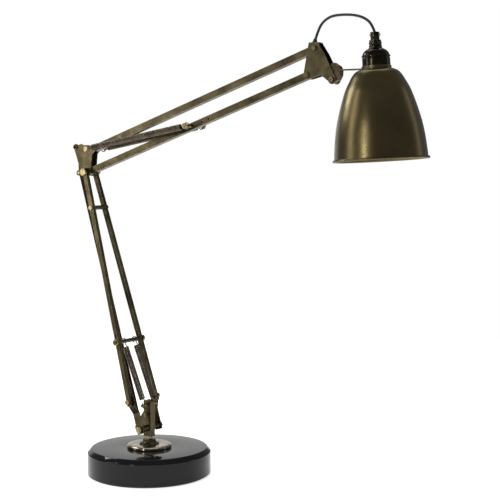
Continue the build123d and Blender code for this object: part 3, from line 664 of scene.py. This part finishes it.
def spring_path(start, end, turns, per_turn=18):
    """A close-wound coil from start to end with a round hook about each pin, as a list of points."""
    axis = (end - start).normalized()
    side = Vector((0, 1, 0))
    up = axis.cross(side).normalized()
    length = (end - start).length
    centre_r = COIL_R - WIRE_R
    coil_from, coil_to = COIL_INSET + WIRE_R, length - COIL_INSET - WIRE_R
    coil = []
    for i in range(turns * per_turn + 1):
        turn = 2 * pi * i / per_turn
        along = coil_from + (coil_to - coil_from) * i / (turns * per_turn)
        coil.append(start + axis * along + (side * cos(turn) + up * sin(turn)) * centre_r)

    def hook(pin, inward):
        """Points round the pin, from the far side of it back to the coil's end."""
        points = []
        for i in range(26):
            turn = radians(-160 + 320 * i / 25)
            points.append(pin - inward * HOOK_R * cos(turn) + up * HOOK_R * sin(turn))
        return points

    first = hook(start, axis)
    last = hook(end, -axis)
    near_hook = axis * (HOOK_R + WIRE_R)
    near_coil = axis * (COIL_INSET - 0.6 * MM)
    lead_in = [start + near_hook + side * centre_r * 0.35, start + near_coil + side * centre_r * 0.9]
    lead_out = [end - near_coil + side * centre_r * 0.9, end - near_hook + side * centre_r * 0.35]
    return first + lead_in + coil + lead_out + list(reversed(last))


def add_spring_pair(pair, start, end, depth, turns):
    """A spring depth to each side of the arms, in place of the CAD springs and tails."""
    for label, sign in (("near", -1), ("far", 1)):
        shift = Vector((0, sign * depth, 0))
        path = spring_path(start + shift, end + shift, turns)
        spring = tube(f"{pair}_coil_{label}", path, WIRE_R, sides=7)
        spring.data.materials.append(PAINTS["spring_metal"])
        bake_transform(spring)
        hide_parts(f"{pair}s", f"{pair}_tails")


add_spring_pair("lower_spring", middle("cross_rod"), middle("post_spring_pin"), LOWER_SPRING_Y, 54)
add_spring_pair("upper_spring", middle("bar_spring_pin"), middle("upper_pivot_pin"), UPPER_SPRING_Y, 108)


# ------------------------------------------------------------------ shade, lampholder and bulb
SHADE_FRAME = Matrix.Translation(SHADE_SEAT) @ Matrix.Rotation(-SHADE_LEAN, 4, "Y")
WALL = 1.0
THREAD_BORE_R = 16.8
SHADE_TOP = -4.3
BEAD_CENTRE = (68.0, -133.0)
BEAD_R = 1.9
BULB_R = 27
BULB_CENTRE = -72
BULB_WALL = 1.2


def add_shade():
    """The bell, with a rolled bead round its rim, and the ring nut that holds it."""
    bell = [(24.0, -4.35), (31.0, -7.8), (36.0, -13.6), (41.0, -22.3), (45.6, -31.0), (49.2, -40.0)]
    bell += [(55.0, -58.0), (60.8, -80.0), (64.4, -101.0), (66.5, -121.0), (67.4, -132.4)]
    bell = smooth_line(bell, 6)
    outside = [(THREAD_BORE_R, SHADE_TOP), (23.2, SHADE_TOP)] + [tuple(p) for p in bell]
    bead = []
    for i in range(13):
        turn = radians(100 - 250 * i / 12)
        bead.append((BEAD_CENTRE[0] + BEAD_R * cos(turn), BEAD_CENTRE[1] + BEAD_R * sin(turn)))
    inside = [(r - WALL, h - 0.35 * WALL) for r, h in reversed(outside[2:-1])]
    inside.append((THREAD_BORE_R, SHADE_TOP - WALL))
    shade = lathe("bell_shade", outside + bead + inside, SHADE_FRAME, steps=192, angle=40)
    finish_piece(shade, "shade", "shade_brass", "shade")

    nut = [(16.9, -5.4), (20.4, -5.4), (20.4, -9.9), (16.9, -9.9)]
    ring = lathe("shade_lock_ring", round_corners(nut, 0.6), SHADE_FRAME)
    finish_piece(ring, "shade", "aged_brass", "shade_ring_nut")


def add_lampholder():
    """The threaded body and, above it, the domed cap with its neck."""
    body = [(14, 13), (19.6, 13), (19.6, 11.6), (20.2, 11.0)]
    body += [(20.2, 3.2), (20.3, 2.6), (20.3, 0), (16.6, 0)]
    pitch = 2.1
    for i in range(9):
        body += [(16.7, -0.8 - pitch * i), (16.0, -1.85 - pitch * i)]
    body += [(16.6, -19.9), (14, -19.9)]
    holder = lathe("holder_body", round_corners(body, 0.35, 2), SHADE_FRAME, steps=128)
    finish_piece(holder, "shade", "holder_bronze", "lampholder_body")

    dome = [(19.4, 16.4), (18.3, 19.0), (15.2, 22.5), (11.0, 24.9), (9.3, 26.6)]
    cap = [(9.5, 13.02), (20.7, 13.02), (20.75, 14.6), (19.8, 15.5)]
    cap += [tuple(p) for p in smooth_line(dome, 6)]
    cap += [(9.3, 29.6), (8.6, 30.2), (8.6, 31.0), (9.3, 31.6), (9.3, 34), (4, 34), (4, 24)]
    dome_cap = lathe("holder_dome", round_corners(cap, 0.4, 2), SHADE_FRAME, steps=128)
    finish_piece(dome_cap, "shade", "holder_bronze", "lampholder_cap")


def add_bulb():
    """The frosted envelope, open at its neck, and its screw cap."""
    glass = [(12.6, -27.1), (13.4, -31), (15.2, -38), (18.6, -46.5), (22.4, -54.5)]
    glass = [tuple(p) for p in smooth_line(glass, 6)]
    for i in range(1, 17):
        turn = radians(50 - 140 * i / 16)
        glass.append((BULB_R * cos(turn) if i < 16 else 0.0, BULB_CENTRE + BULB_R * sin(turn)))
    inner = []
    for radius, height in reversed(glass):
        lift = BULB_WALL if radius < 20 and height < -80 else 0.0
        inner.append((max(radius - BULB_WALL, 0.0), height + lift))
    envelope = lathe("bulb_envelope", glass + inner, SHADE_FRAME, steps=96, angle=60)
    finish_piece(envelope, "shade", "bulb_glass", "bulb_glass")
    thread = [(0, -0.2), (4, -0.2), (4.4, -1.2), (12.2, -3.6)]
    pitch = 3.3
    for i in range(6):
        thread += [(13.1, -5.2 - pitch * i), (12.0, -6.9 - pitch * i)]
    thread += [(13.0, -25.4), (12.7, -27.0), (0, -27.0)]
    screw_cap = lathe("bulb_screw_cap", thread, SHADE_FRAME, steps=96, closed=False)
    finish_piece(screw_cap, "shade", "bulb_metal", "bulb_cap")


add_shade()
add_lampholder()
add_bulb()
